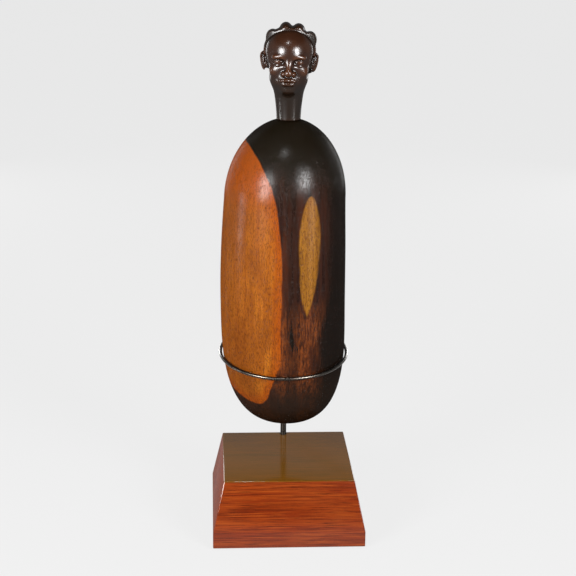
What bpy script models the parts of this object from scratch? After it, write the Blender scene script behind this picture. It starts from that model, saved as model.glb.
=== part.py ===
"""A carved wooden doll that stands in a wire ring on a bevelled wooden block.

Run with: blender --background --python part.py, or from Blender's text editor.
Metres, +Z up, front towards -Y. The origin is the centre of the felt's underside.
"""

import math

import bmesh
import bpy
from mathutils import Matrix, Vector

# Clearances
TOUCH_GAP = 0.0003
THREAD_GAP = 0.00015

# Wooden base block: a vertical plinth with four sides that lean in above it
FOOT_WIDTH = 0.1016
TOP_WIDTH = 0.0867
PLINTH_HEIGHT = 0.0104
BLOCK_HEIGHT = 0.0449
BLOCK_EDGE_ROUND = 0.0005

# Felt under the block
FELT_THICKNESS = 0.0010
FELT_INSET = 0.0035
FELT_CORNER = 0.0030

# Steel post with a shoulder and a threaded stud below it
POST_DIAMETER = 0.0042
POST_BACK_WALL = 0.0013
POST_SOCKET_DEPTH = 0.0220
POST_ABOVE_RING = 0.0040
STUD_DIAMETER = 0.0030
STUD_PAST_NUT = 0.0012

# Washer and nut, in a counterbore under the block
WASHER_DIAMETER = 0.0070
WASHER_THICKNESS = 0.0005
NUT_ACROSS_FLATS = 0.0055
NUT_HEIGHT = 0.0024
COUNTERBORE_DIAMETER = 0.0100
COUNTERBORE_SPARE = 0.0020

# Wire ring, lower at the front, that the doll sits in like an egg in a cup
RING_WIRE_DIAMETER = 0.0022
RING_TILT = math.radians(7.2)
RING_HEIGHT_ABOVE_BLOCK = 0.0785
RING_ABOVE_POLE = 0.0479
SEAT_CLEARANCE = 0.0003

# Bead of brazing metal that wraps the ring's wire and the front of the post
BRAZE_PAST_POST = 0.0015
BRAZE_PAST_WIRE = 0.0020
BRAZE_DEPTH = 0.0026

# Doll's body, a capsule that tapers towards the shoulders
BELLY_RADIUS = 0.0415
BELLY_HEIGHT = 0.0775
BELLY_ROUNDNESS = 2.9
SIDE_HEIGHT = 0.0760
SIDE_BULGE = 0.0006
SHOULDER_RADIUS = 0.0397
SHOULDER_HEIGHT = 0.0520
SHOULDER_ROUNDNESS = 2.0
DOLL_X = -0.0011
BELLY_SWAY = -0.0027

# Neck, and the tapered peg under it that plugs into the body
NECK_FOOT_RADIUS = 0.0078
NECK_TOP_RADIUS = 0.0096
NECK_LENGTH = 0.0180
NECK_SEAT_MARGIN = 0.0003
PEG_TOP_RADIUS = 0.0060
PEG_FOOT_RADIUS = 0.0052
PEG_LENGTH = 0.0240
PEG_END_SPARE = 0.0010

# Head above the neck
HEAD_TURN = math.radians(-4.0)
HEAD_TILT = math.radians(1.5)
HEAD_VOXEL = 0.0013

# Lobes of the hair from left to right: x, z, half width and half height, in millimetres
HAIR_KNOBS = (
    (-11.4, 51.6, 4.4, 4.6),
    (-2.8, 57.4, 4.0, 4.4),
    (5.0, 57.0, 4.0, 4.0),
    (12.6, 50.6, 4.4, 5.2),
)

# How finely round shapes are made
BODY_STEPS = 52
CAP_STEPS = 13
SIDE_STEPS = 7
SMALL_STEPS = 20
RING_STEPS = (72, 8)


def cap_radius(share, radius, roundness):
    """Radius of a rounded cap at a share of its height, 0 at its widest and 1 at its pole."""
    return radius * (1 - share**roundness) ** (1 / roundness)


def cap_share(radius_share, roundness):
    """The share of a cap's height at which its radius has fallen to a share of its widest."""
    return (1 - radius_share**roundness) ** (1 / roundness)


def belly_radius(above_pole):
    """Radius of the body's lower cap at a height above its pole."""
    return cap_radius(1 - above_pole / BELLY_HEIGHT, BELLY_RADIUS, BELLY_ROUNDNESS)


def belly_sway(z):
    """How far the hand-carved outside of the body stands out of line at a height, pole to mouth."""
    share = min(max((z - POLE_Z) / (SEAT_Z - POLE_Z), 0), 1)
    return BELLY_SWAY * math.sin(math.pi * share)


# Heights of the block, and the places of post and ring
BLOCK_BOTTOM = FELT_THICKNESS + TOUCH_GAP
BLOCK_TOP = BLOCK_BOTTOM + BLOCK_HEIGHT
POST_RADIUS = POST_DIAMETER / 2
POST_Y = TOP_WIDTH / 2 - POST_BACK_WALL - POST_RADIUS
POST_SHOULDER_Z = BLOCK_TOP - POST_SOCKET_DEPTH
WIRE_RADIUS = RING_WIRE_DIAMETER / 2
RING_Z = BLOCK_TOP + RING_HEIGHT_ABOVE_BLOCK

# The tilted ring clears the body by the same gap at its low front and its high back
TILT_REACH = BELLY_RADIUS * math.tan(RING_TILT)
FRONT_SEAT_RADIUS = belly_radius(RING_ABOVE_POLE - TILT_REACH)
BACK_SEAT_RADIUS = belly_radius(RING_ABOVE_POLE + TILT_REACH)
SEAT_RADIUS = (FRONT_SEAT_RADIUS + BACK_SEAT_RADIUS) / 2
RING_RADIUS = (SEAT_RADIUS + SEAT_CLEARANCE + WIRE_RADIUS) / math.cos(RING_TILT)
RING_Y = POST_Y - POST_RADIUS - TOUCH_GAP - WIRE_RADIUS - RING_RADIUS * math.cos(RING_TILT)
RING_BACK_Z = RING_Z + RING_RADIUS * math.sin(RING_TILT)

# Heights on the doll
POLE_Z = RING_Z - RING_ABOVE_POLE
BELLY_Z = POLE_Z + BELLY_HEIGHT
SHOULDER_Z = BELLY_Z + SIDE_HEIGHT
MOUTH_RADIUS = NECK_FOOT_RADIUS + NECK_SEAT_MARGIN
MOUTH_SHARE = cap_share(MOUTH_RADIUS / SHOULDER_RADIUS, SHOULDER_ROUNDNESS)
SEAT_Z = SHOULDER_Z + SHOULDER_HEIGHT * MOUTH_SHARE
SOCKET_BOTTOM_Z = SEAT_Z - PEG_LENGTH - PEG_END_SPARE
DOLL_Y = RING_Y - (BACK_SEAT_RADIUS - FRONT_SEAT_RADIUS) / 2
RING_X = DOLL_X + belly_sway(RING_Z)

# Nut and washer, stacked in the counterbore
NUT_STACK = WASHER_THICKNESS + NUT_HEIGHT + 2 * TOUCH_GAP + STUD_PAST_NUT
COUNTERBORE_Z = BLOCK_BOTTOM + NUT_STACK + COUNTERBORE_SPARE
WASHER_Z = COUNTERBORE_Z - TOUCH_GAP - WASHER_THICKNESS
NUT_Z = WASHER_Z - TOUCH_GAP - NUT_HEIGHT


def clear_scene():
    for old in list(bpy.data.objects):
        bpy.data.objects.remove(old)


def new_collection(name):
    collection = bpy.data.collections.new(name)
    bpy.context.scene.collection.children.link(collection)
    return collection


def new_material(name, colour, roughness, metallic=0.0):
    material = bpy.data.materials.new(name)
    material.use_nodes = True
    shader = material.node_tree.nodes["Principled BSDF"]
    shader.inputs["Base Color"].default_value = (*colour, 1.0)
    shader.inputs["Roughness"].default_value = roughness
    shader.inputs["Metallic"].default_value = metallic
    return material


def shade_round(mesh, angle_deg=40):
    mesh.shade_smooth()
    mesh.set_sharp_from_angle(angle=math.radians(angle_deg))


def add_object(name, mesh, collection, material=None, location=(0, 0, 0), rotation=(0, 0, 0)):
    obj = bpy.data.objects.new(name, mesh)
    obj.location = location
    obj.rotation_euler = rotation
    if material:
        mesh.materials.append(material)
    collection.objects.link(obj)
    return obj


def mesh_from_bmesh(name, bm):
    mesh = bpy.data.meshes.new(name)
    bm.to_mesh(mesh)
    bm.free()
    return mesh


def cylinder_mesh(name, radius, height, segments=SMALL_STEPS, flats=False):
    """A cylinder or prism on the origin, from z = 0 upwards. With flats, radius is to the flats."""
    outer = radius / math.cos(math.pi / segments) if flats else radius
    bm = bmesh.new()
    bmesh.ops.create_cone(
        bm, cap_ends=True, segments=segments, radius1=outer, radius2=outer, depth=height
    )
    bmesh.ops.translate(bm, verts=bm.verts, vec=(0, 0, height / 2))
    return mesh_from_bmesh(name, bm)


def turned_mesh(name, profile, steps):
    """A solid of revolution about Z. The profile of (radius, z) runs down the outer side."""
    bm = bmesh.new()
    verts = [bm.verts.new((r, 0, z)) for r, z in profile]
    for a, b in zip(verts, verts[1:]):
        bm.edges.new((a, b))
    outline = bpy.data.objects.new(name + "_outline", mesh_from_bmesh(name, bm))
    bpy.context.scene.collection.objects.link(outline)
    screw = outline.modifiers.new("Screw", "SCREW")
    screw.steps = steps
    screw.render_steps = steps
    screw.use_merge_vertices = True
    screw.merge_threshold = 0.00001
    bpy.context.view_layer.update()
    graph = bpy.context.evaluated_depsgraph_get()
    mesh = bpy.data.meshes.new_from_object(outline.evaluated_get(graph))
    bpy.data.objects.remove(outline)
    mesh.name = name
    shade_round(mesh)
    return mesh


def cut(obj, cutter):
    boolean = obj.modifiers.new("Cut_" + cutter.name, "BOOLEAN")
    boolean.operation = "DIFFERENCE"
    boolean.object = cutter


def hide_helper(obj):
    obj.hide_render = True
    obj.display_type = "WIRE"
    return obj


def add_base_block(parts, cutters, wood):
    """One block of hardwood, drilled down through the back of its top for the post."""
    bm = bmesh.new()
    bmesh.ops.create_cube(bm, size=1.0)
    bmesh.ops.scale(bm, verts=bm.verts, vec=(FOOT_WIDTH, FOOT_WIDTH, PLINTH_HEIGHT))
    bmesh.ops.translate(bm, verts=bm.verts, vec=(0, 0, BLOCK_BOTTOM + PLINTH_HEIGHT / 2))
    top = max(bm.faces, key=lambda face: face.calc_center_median().z)
    raised = bmesh.ops.extrude_face_region(bm, geom=[top])
    raised_verts = [item for item in raised["geom"] if isinstance(item, bmesh.types.BMVert)]
    bmesh.ops.delete(bm, geom=[top], context="FACES_ONLY")
    bmesh.ops.translate(bm, verts=raised_verts, vec=(0, 0, BLOCK_HEIGHT - PLINTH_HEIGHT))
    lean = TOP_WIDTH / FOOT_WIDTH
    bmesh.ops.scale(bm, verts=raised_verts, vec=(lean, lean, 1))
    block = add_object("base_block", mesh_from_bmesh("base_block", bm), parts, wood)
    edges = block.modifiers.new("Edges", "BEVEL")
    edges.width = BLOCK_EDGE_ROUND
    edges.segments = 2
    edges.angle_limit = math.radians(8)
    drilled = add_object("post_drilling", drilling_mesh(), cutters, location=(0, POST_Y, 0))
    cut(block, hide_helper(drilled))
    return block


def drilling_mesh():
    """Socket for the post, hole for the stud and counterbore for the nut, as one turned cutter."""
    past = 0.002
    socket = POST_RADIUS + THREAD_GAP
    stud = STUD_DIAMETER / 2 + THREAD_GAP
    bore = COUNTERBORE_DIAMETER / 2
    profile = [
        (0, BLOCK_TOP + past),
        (socket, BLOCK_TOP + past),
        (socket, POST_SHOULDER_Z - TOUCH_GAP),
        (stud, POST_SHOULDER_Z - TOUCH_GAP),
        (stud, COUNTERBORE_Z),
        (bore, COUNTERBORE_Z),
        (bore, BLOCK_BOTTOM - past),
        (0, BLOCK_BOTTOM - past),
    ]
    return turned_mesh("post_drilling", profile, SMALL_STEPS)


def add_post(parts, steel):
    """A round bar with a domed top, a shoulder in the block and a thinner stud below it."""
    top = RING_BACK_Z + POST_ABOVE_RING
    stud = STUD_DIAMETER / 2
    dome = [
        (POST_RADIUS * math.sin(a), top - POST_RADIUS * (1 - math.cos(a)) * 0.5)
        for a in (math.radians(step) for step in range(0, 91, 15))
    ]
    foot = NUT_Z - STUD_PAST_NUT
    profile = dome + [(POST_RADIUS, POST_SHOULDER_Z), (stud, POST_SHOULDER_Z), (stud, foot), (0, foot)]
    mesh = turned_mesh("post", profile, SMALL_STEPS)
    return add_object("post", mesh, parts, steel, location=(0, POST_Y, 0))


def ring_mesh(name, wire_radius):
    bpy.ops.mesh.primitive_torus_add(
        major_segments=RING_STEPS[0],
        minor_segments=RING_STEPS[1],
        major_radius=RING_RADIUS,
        minor_radius=wire_radius,
    )
    made = bpy.context.object
    mesh = made.data
    mesh.name = name
    bpy.data.objects.remove(made)
    shade_round(mesh, 60)
    return mesh


def add_ring(parts, steel):
    place = {"location": (RING_X, RING_Y, RING_Z), "rotation": (RING_TILT, 0, 0)}
    return add_object("ring", ring_mesh("ring", WIRE_RADIUS), parts, steel, **place)


def add_ring_braze(parts, cutters, brass):
    """The bead that holds the ring to the post, shaped by both of them."""
    bm = bmesh.new()
    bmesh.ops.create_uvsphere(bm, u_segments=20, v_segments=12, radius=1.0)
    half_width = POST_RADIUS + BRAZE_PAST_POST
    half_height = WIRE_RADIUS + BRAZE_PAST_WIRE
    bmesh.ops.scale(bm, verts=bm.verts, vec=(half_width, BRAZE_DEPTH, half_height))
    centre = (0, POST_Y - POST_RADIUS, RING_BACK_Z)
    mesh = mesh_from_bmesh("ring_braze", bm)
    shade_round(mesh)
    bead = add_object("ring_braze", mesh, parts, brass, location=centre)
    reach = 2 * half_height
    post = add_object(
        "braze_post_cutter",
        cylinder_mesh("braze_post_cutter", POST_RADIUS + TOUCH_GAP, 2 * reach),
        cutters,
        location=(0, POST_Y, RING_BACK_Z - reach),
    )
    wire = add_object(
        "braze_ring_cutter",
        ring_mesh("braze_ring_cutter", WIRE_RADIUS + TOUCH_GAP),
        cutters,
        location=(RING_X, RING_Y, RING_Z),
        rotation=(RING_TILT, 0, 0),
    )
    cut(bead, hide_helper(post))
    cut(bead, hide_helper(wire))
    return bead


def add_washer(parts, steel):
    hole = STUD_DIAMETER / 2 + THREAD_GAP
    outer = WASHER_DIAMETER / 2
    low = WASHER_Z
    high = low + WASHER_THICKNESS
    profile = [(hole, low), (hole, high), (outer, high), (outer, low), (hole, low)]
    mesh = turned_mesh("washer", profile, SMALL_STEPS)
    return add_object("washer", mesh, parts, steel, location=(0, POST_Y, 0))


def add_nut(parts, cutters, steel):
    flats = NUT_ACROSS_FLATS / 2
    mesh = cylinder_mesh("nut", flats, NUT_HEIGHT, segments=6, flats=True)
    nut = add_object("nut", mesh, parts, steel, location=(0, POST_Y, NUT_Z))
    bore_radius = STUD_DIAMETER / 2 + THREAD_GAP
    past = NUT_HEIGHT / 2
    bore = cylinder_mesh("nut_bore", bore_radius, NUT_HEIGHT + 2 * past, flats=True)
    place = (0, POST_Y, NUT_Z - past)
    cut(nut, hide_helper(add_object("nut_bore", bore, cutters, location=place)))
    return nut


def add_felt_pad(parts, felt):
    width = FOOT_WIDTH - 2 * FELT_INSET
    bm = bmesh.new()
    bmesh.ops.create_cube(bm, size=1.0)
    bmesh.ops.scale(bm, verts=bm.verts, vec=(width, width, FELT_THICKNESS))
    bmesh.ops.translate(bm, verts=bm.verts, vec=(0, 0, FELT_THICKNESS / 2))
    upright = [e for e in bm.edges if abs(e.verts[0].co.z - e.verts[1].co.z) > FELT_THICKNESS / 2]
    bmesh.ops.bevel(
        bm, geom=upright, offset=FELT_CORNER, segments=4, profile=0.5, affect="EDGES"
    )
    return add_object("felt_pad", mesh_from_bmesh("felt_pad", bm), parts, felt)


def body_profile():
    """From the socket's bottom up to the mouth, over the shoulders and down to the pole."""
    profile = [
        (0, SOCKET_BOTTOM_Z),
        (PEG_FOOT_RADIUS + TOUCH_GAP, SOCKET_BOTTOM_Z),
        (PEG_TOP_RADIUS + TOUCH_GAP, SEAT_Z),
    ]
    for step in range(CAP_STEPS + 1):
        share = MOUTH_SHARE * math.cos(math.pi / 2 * step / CAP_STEPS)
        radius = cap_radius(share, SHOULDER_RADIUS, SHOULDER_ROUNDNESS)
        profile.append((radius, SHOULDER_Z + SHOULDER_HEIGHT * share))
    for step in range(1, SIDE_STEPS):
        share = step / SIDE_STEPS
        radius = SHOULDER_RADIUS + (BELLY_RADIUS - SHOULDER_RADIUS) * share
        radius += SIDE_BULGE * math.sin(math.pi * share)
        profile.append((radius, SHOULDER_Z - SIDE_HEIGHT * share))
    for step in range(CAP_STEPS + 1):
        share = math.sin(math.pi / 2 * step / CAP_STEPS)
        radius = cap_radius(share, BELLY_RADIUS, BELLY_ROUNDNESS)
        profile.append((radius if step < CAP_STEPS else 0, BELLY_Z - BELLY_HEIGHT * share))
    return profile


def add_doll_body(parts, wood):
    """The capsule, carved from one log, with a tapered socket in its top for the head's peg."""
    mesh = turned_mesh("doll_body", body_profile(), BODY_STEPS)
    for vertex in mesh.vertices:
        in_socket = vertex.co.xy.length < MOUTH_RADIUS and vertex.co.z > SOCKET_BOTTOM_Z - TOUCH_GAP
        if not in_socket:
            vertex.co.x += belly_sway(vertex.co.z)
    return add_object("doll_body", mesh, parts, wood, location=(DOLL_X, DOLL_Y, 0))


def ellipsoid(bm, centre, radii, lean=0.0, turn=0.0):
    """An ellipsoid in millimetres from the foot of the neck. It leans about Y and turns about Z."""
    made = bmesh.ops.create_uvsphere(bm, u_segments=24, v_segments=16, radius=0.001)["verts"]
    bmesh.ops.scale(bm, verts=made, vec=radii)
    spin = Matrix.Rotation(math.radians(turn), 4, "Z") @ Matrix.Rotation(math.radians(lean), 4, "Y")
    bmesh.ops.transform(bm, matrix=spin, verts=made)
    bmesh.ops.translate(bm, verts=made, vec=Vector(centre) * 0.001)


def head_lumps():
    """The head's masses as overlapping closed forms: skull, face, jaw, nose, lips, ears and hair."""
    bm = bmesh.new()
    ellipsoid(bm, (0.4, 0.8, 44.0), (15.8, 17.0, 13.4))
    ellipsoid(bm, (0.4, -3.2, 35.5), (13.6, 12.6, 14.5))
    ellipsoid(bm, (0.2, -4.2, 26.0), (11.6, 10.2, 9.0))
    ellipsoid(bm, (0.2, 3.6, 30.0), (12.2, 10.4, 12.0))
    ellipsoid(bm, (0.2, -15.2, 35.2), (2.0, 1.8, 5.2))
    ellipsoid(bm, (0.2, -16.0, 31.6), (3.4, 2.2, 2.1))
    ellipsoid(bm, (0.2, -13.2, 26.2), (4.6, 1.9, 1.7))
    for side in (-1, 1):
        ellipsoid(bm, (side * 16.6, 2.0, 36.2), (1.7, 4.8, 7.0), lean=side * 12, turn=side * -35)
        ellipsoid(bm, (0.2 + side * 6.2, -13.6, 37.4), (3.4, 1.6, 1.8))
    ellipsoid(bm, (0.4, 4.6, 46.8), (16.4, 16.0, 12.8))
    for x, z, wide, high in HAIR_KNOBS:
        ellipsoid(bm, (x, 3.0, z), (wide, 13.0, high))
    return mesh_from_bmesh("doll_head", bm)


def neck_mesh():
    """The neck and, under its flat foot, the tapered peg."""
    root = NECK_LENGTH + 0.012
    profile = [
        (0, root),
        (NECK_TOP_RADIUS, root),
        (NECK_TOP_RADIUS, NECK_LENGTH),
        (NECK_FOOT_RADIUS + 0.0005, NECK_LENGTH * 0.5),
        (NECK_FOOT_RADIUS, 0),
        (PEG_TOP_RADIUS, 0),
        (PEG_FOOT_RADIUS, -PEG_LENGTH),
        (0, -PEG_LENGTH),
    ]
    return turned_mesh("neck", profile, 32)


def add_doll_head(parts, cutters, wood):
    """Head, neck and peg, carved as one piece that plugs into the body."""
    foot = (DOLL_X, DOLL_Y, SEAT_Z + TOUCH_GAP)
    mesh = head_lumps()
    eye_height = Vector((0, 0, 0.037))
    tilt = Matrix.Translation(eye_height) @ Matrix.Rotation(HEAD_TILT, 4, "Y")
    mesh.transform(tilt @ Matrix.Translation(-eye_height))
    head = add_object("doll_head", mesh, parts, wood, foot, (0, 0, HEAD_TURN))
    blend = head.modifiers.new("Blend", "REMESH")
    blend.mode = "VOXEL"
    blend.voxel_size = HEAD_VOXEL
    soften = head.modifiers.new("Soften", "SMOOTH")
    soften.factor = 0.5
    soften.iterations = 3
    thin = head.modifiers.new("Thin", "DECIMATE")
    thin.ratio = 0.4
    neck = add_object("neck", neck_mesh(), cutters, None, foot, (0, 0, HEAD_TURN))
    join = head.modifiers.new("Neck", "BOOLEAN")
    join.operation = "UNION"
    join.object = hide_helper(neck)
    return head


def build():
    clear_scene()
    parts = new_collection("fertility_doll")
    cutters = new_collection("cutters")
    base_wood = new_material("base_wood", (0.40, 0.09, 0.025), 0.35)
    body_wood = new_material("body_wood", (0.36, 0.12, 0.03), 0.35)
    head_wood = new_material("head_wood", (0.06, 0.025, 0.015), 0.35)
    dark_steel = new_material("dark_steel", (0.09, 0.085, 0.08), 0.35, 1.0)
    plated_steel = new_material("plated_steel", (0.55, 0.55, 0.53), 0.3, 1.0)
    brass = new_material("braze_metal", (0.35, 0.27, 0.13), 0.4, 1.0)
    felt = new_material("felt", (0.02, 0.02, 0.02), 0.95)
    add_felt_pad(parts, felt)
    add_base_block(parts, cutters, base_wood)
    add_post(parts, dark_steel)
    add_washer(parts, plated_steel)
    add_nut(parts, cutters, plated_steel)
    add_ring(parts, dark_steel)
    add_ring_braze(parts, cutters, brass)
    add_doll_body(parts, body_wood)
    add_doll_head(parts, cutters, head_wood)


build()
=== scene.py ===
"""A carved wooden doll in a wire ring on a bevelled block, with its surfaces and studio."""
import math

import bmesh
import bpy
import numpy as np
from mathutils import Euler, Matrix, Vector, noise


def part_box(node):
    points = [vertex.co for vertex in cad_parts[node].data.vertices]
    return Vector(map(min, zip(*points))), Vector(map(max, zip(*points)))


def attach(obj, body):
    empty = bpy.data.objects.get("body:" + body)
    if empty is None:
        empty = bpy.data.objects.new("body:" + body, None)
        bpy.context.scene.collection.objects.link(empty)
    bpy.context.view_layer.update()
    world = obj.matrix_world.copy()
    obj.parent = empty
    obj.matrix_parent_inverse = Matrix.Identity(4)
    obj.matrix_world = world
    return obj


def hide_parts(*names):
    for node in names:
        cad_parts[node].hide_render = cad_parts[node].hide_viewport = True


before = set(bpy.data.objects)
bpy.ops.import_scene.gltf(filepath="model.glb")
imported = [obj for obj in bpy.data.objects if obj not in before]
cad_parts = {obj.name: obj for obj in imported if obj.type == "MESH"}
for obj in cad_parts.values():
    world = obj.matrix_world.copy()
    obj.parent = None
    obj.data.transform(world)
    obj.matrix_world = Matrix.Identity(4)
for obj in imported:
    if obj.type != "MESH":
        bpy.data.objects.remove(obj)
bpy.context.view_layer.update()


# ---------------------------------------------------------------------------------------------
# Felt pad: black pressed felt, cut a little smaller than the block and glued under it, so that
# the stand does not scratch a shelf. It also hides the nut.
# ---------------------------------------------------------------------------------------------
def new_finish(name, colour, roughness, metallic=0.0):
    """A material with a Principled shader; returns the material, its node tree and the shader."""
    material = bpy.data.materials.new(name)
    material.use_nodes = True
    tree = material.node_tree
    shader = tree.nodes["Principled BSDF"]
    shader.inputs["Base Color"].default_value = (*colour, 1)
    shader.inputs["Roughness"].default_value = roughness
    shader.inputs["Metallic"].default_value = metallic
    return material, tree, shader


def node(tree, kind, inputs, **settings):
    """Adds a node; each input is set to a value, or linked if it is another node's output."""
    made = tree.nodes.new("ShaderNode" + kind)
    for key, value in settings.items():
        setattr(made, key, value)
    for key, value in inputs.items():
        if isinstance(value, bpy.types.NodeSocket):
            tree.links.new(value, made.inputs[key])
        else:
            made.inputs[key].default_value = value
    return made


def maths(tree, operation, a, b=0.0):
    """One step of arithmetic on values or on other nodes' outputs."""
    return node(tree, "Math", {0: a, 1: b}, operation=operation).outputs[0]


def product(tree, a, b):
    return maths(tree, "MULTIPLY", a, b)


def fade(tree, value, low, high):
    """0 below low, 1 above high and a smooth step between them; low may be the larger."""
    if low > high:
        return maths(tree, "SUBTRACT", 1.0, fade(tree, value, high, low))
    limits = {"Value": value, "From Min": low, "From Max": high}
    return node(tree, "MapRange", limits, interpolation_type="SMOOTHSTEP").outputs[0]


def tint(tree, amount, under, over):
    """Lays one colour over another by an amount from 0 to 1."""
    under = (*under, 1) if isinstance(under, tuple) else under
    over = (*over, 1) if isinstance(over, tuple) else over
    inputs = {0: amount, 6: under, 7: over}
    return node(tree, "Mix", inputs, data_type="RGBA").outputs[2]


def speckle(tree, scale, detail=4.0, roughness=0.6, distortion=0.0):
    """Noise from 0 to 1 in the piece's own space; scale is features per metre along x, y and z."""
    place = node(tree, "TexCoord", {}).outputs["Object"]
    stretched = node(tree, "Mapping", {"Vector": place, "Scale": scale})
    settings = {"Vector": stretched.outputs[0], "Scale": 1.0, "Detail": detail}
    settings.update({"Roughness": roughness, "Distortion": distortion})
    return node(tree, "TexNoise", settings).outputs["Fac"]


def relief(tree, shader, height, depth):
    """Bumps the surface by a height from 0 to 1, where 1 stands depth metres proud."""
    bump = node(tree, "Bump", {"Height": height, "Distance": depth, "Strength": 1.0})
    earlier = shader.inputs["Normal"]
    if earlier.is_linked:
        tree.links.new(earlier.links[0].from_socket, bump.inputs["Normal"])
    tree.links.new(bump.outputs[0], shader.inputs["Normal"])
    tree.links.new(bump.outputs[0], shader.inputs["Coat Normal"])


def wax(shader, weight, ior, roughness):
    """A thin wax polish: the wood under it scatters, and only the wax shines."""
    shader.inputs["Specular IOR Level"].default_value = 0.0
    shader.inputs["Coat Weight"].default_value = weight
    shader.inputs["Coat IOR"].default_value = ior
    shader.inputs["Coat Roughness"].default_value = roughness


def piece(name, mesh, finish, body, slot, *nodes):
    """Puts a mesh in the scene as a piece that moves with a body and stands for some solids."""
    made = bpy.data.objects.new(name, mesh)
    bpy.context.scene.collection.objects.link(made)
    mesh.materials.clear()
    mesh.materials.append(finish)
    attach(made, body)
    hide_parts(*nodes)
    return made


def settled(name, modified):
    """The mesh of an object with its modifiers applied; the object itself is removed."""
    bpy.context.view_layer.update()
    graph = bpy.context.evaluated_depsgraph_get()
    mesh = bpy.data.meshes.new_from_object(modified.evaluated_get(graph))
    bpy.data.objects.remove(modified)
    mesh.name = name
    return mesh


def workpiece(name, bm):
    """A bmesh as an object that modifiers can still work on."""
    mesh = bpy.data.meshes.new(name)
    bm.to_mesh(mesh)
    bm.free()
    made = bpy.data.objects.new(name, mesh)
    bpy.context.scene.collection.objects.link(made)
    return made


FELT_CORNER = 0.003
FELT_FRAY = 0.00025
felt_low, felt_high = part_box("felt_pad")
felt_size = felt_high - felt_low
bm = bmesh.new()
bmesh.ops.create_cube(bm, size=1.0)
bmesh.ops.scale(bm, verts=bm.verts, vec=felt_size)
bmesh.ops.translate(bm, verts=bm.verts, vec=(felt_low + felt_high) / 2)
upright = [e for e in bm.edges if abs(e.verts[0].co.z - e.verts[1].co.z) > felt_size.z / 2]
bmesh.ops.bevel(bm, geom=upright, offset=FELT_CORNER, segments=6, profile=0.5, affect="EDGES")
long_edges = [e for e in bm.edges if e.calc_length() > felt_size.x / 2]
bmesh.ops.subdivide_edges(bm, edges=long_edges, cuts=60, use_grid_fill=True)
for vertex in bm.verts:
    out = Vector((vertex.co.x, vertex.co.y, 0)).normalized()
    vertex.co -= out * FELT_FRAY * abs(noise.noise(vertex.co * 700))
felt_mesh = settled("felt", workpiece("felt", bm))

finish, tree, shader = new_finish("pressed_felt", (0.0073, 0.0073, 0.0078), 1.0)
fibres = speckle(tree, (3500, 3500, 3500), detail=6.0, roughness=0.75, distortion=1.5)
lint = fade(tree, speckle(tree, (900, 2600, 1600), distortion=3.0), 0.62, 0.75)
felt_colour = tint(tree, fibres, (0.0042, 0.0042, 0.0047), (0.0156, 0.0156, 0.0166))
felt_colour = tint(tree, lint, felt_colour, (0.0390, 0.0380, 0.0364))
tree.links.new(felt_colour, shader.inputs["Base Color"])
shader.inputs["Sheen Weight"].default_value = 0.25
shader.inputs["Sheen Roughness"].default_value = 0.6
relief(tree, shader, fibres, 0.00020)
piece("pressed_felt_pad", felt_mesh, finish, "stand", "felt", "felt_pad")


# ---------------------------------------------------------------------------------------------
# Base block: one piece of red tropical hardwood, sawn with a short upright foot and four
# leaning sides, its edges barely broken, then sanded fine and polished until the top mirrors.
# The grain runs from left to right. The back of its top is drilled for the post.
# ---------------------------------------------------------------------------------------------
FOOT_HEIGHT = 0.0104
TOP_SHARE = 0.0867 / 0.1016
EDGE_BREAK = 0.0006
DRILL_CLEARANCE = 0.0002
DRILL_DEPTH = 0.024
block_low, block_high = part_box("base_block")
block_size = block_high - block_low
post_low, post_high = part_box("post")
post_middle = (post_low + post_high) / 2
post_radius = (post_high.x - post_low.x) / 2

bm = bmesh.new()
bmesh.ops.create_cube(bm, size=1.0)
bmesh.ops.scale(bm, verts=bm.verts, vec=(block_size.x, block_size.y, FOOT_HEIGHT))
bmesh.ops.translate(bm, verts=bm.verts, vec=(0, 0, block_low.z + FOOT_HEIGHT / 2))
top = max(bm.faces, key=lambda face: face.calc_center_median().z)
raised = bmesh.ops.extrude_face_region(bm, geom=[top])["geom"]
raised = [item for item in raised if isinstance(item, bmesh.types.BMVert)]
bmesh.ops.delete(bm, geom=[top], context="FACES_ONLY")
bmesh.ops.translate(bm, verts=raised, vec=(0, 0, block_size.z - FOOT_HEIGHT))
bmesh.ops.scale(bm, verts=raised, vec=(TOP_SHARE, TOP_SHARE, 1))
bmesh.ops.bevel(bm, geom=bm.edges[:], offset=EDGE_BREAK, segments=4, profile=0.5, affect="EDGES")
block = workpiece("block", bm)

bm = bmesh.new()
drill_top = block_high.z + 0.002
drill_radius = post_radius + DRILL_CLEARANCE
bmesh.ops.create_cone(
    bm, cap_ends=True, segments=64, radius1=drill_radius, radius2=drill_radius, depth=DRILL_DEPTH
)
drill_place = (post_middle.x, post_middle.y, drill_top - DRILL_DEPTH / 2)
bmesh.ops.translate(bm, verts=bm.verts, vec=drill_place)
drill = workpiece("drill", bm)
drilling = block.modifiers.new("Drilling", "BOOLEAN")
drilling.operation = "DIFFERENCE"
drilling.object = drill
block_mesh = settled("block", block)
bpy.data.objects.remove(drill)
block_mesh.shade_smooth()
block_mesh.set_sharp_from_angle(angle=math.radians(50))

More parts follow.
